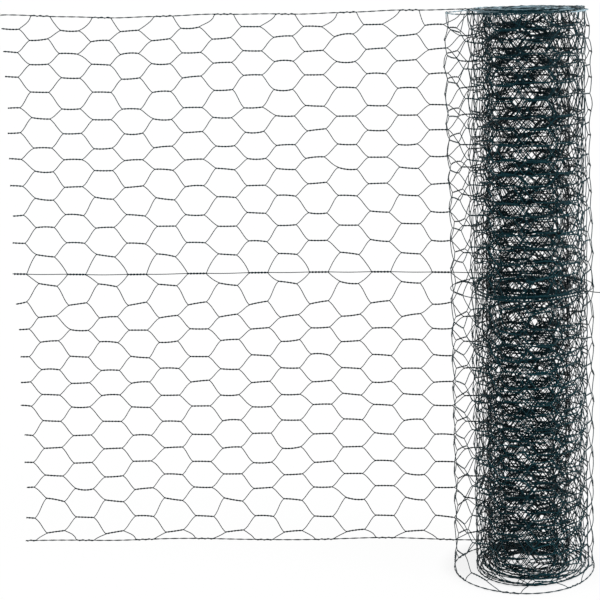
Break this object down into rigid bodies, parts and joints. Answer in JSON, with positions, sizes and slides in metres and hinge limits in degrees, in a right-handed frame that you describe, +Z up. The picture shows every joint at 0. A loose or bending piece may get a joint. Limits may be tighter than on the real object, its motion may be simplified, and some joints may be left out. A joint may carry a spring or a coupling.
{
  "type": "roll of hexagonal wire netting",
  "caption": "Roll of plastic-coated hexagonal wire netting standing on its end, its last turn sprung loose and a cut length standing out flat beside it.",
  "frame": {"origin": "on the bore's axis, at the end that stands on the floor", "axes": "+Z up along the bore, +X along the flat length from its cut end towards the roll, +Y towards the side that the flat length leaves from"},
  "size_m": [1.0801, 0.2547, 1],
  "materials": {
    "coated_wire": "semi-gloss dark blue-green plastic coat on steel wire"
  },
  "bodies": {
    "root": {"wound_roll": "coated_wire", "loose_turn": "coated_wire", "flat_length": "coated_wire"}
  },
  "joints": []
}
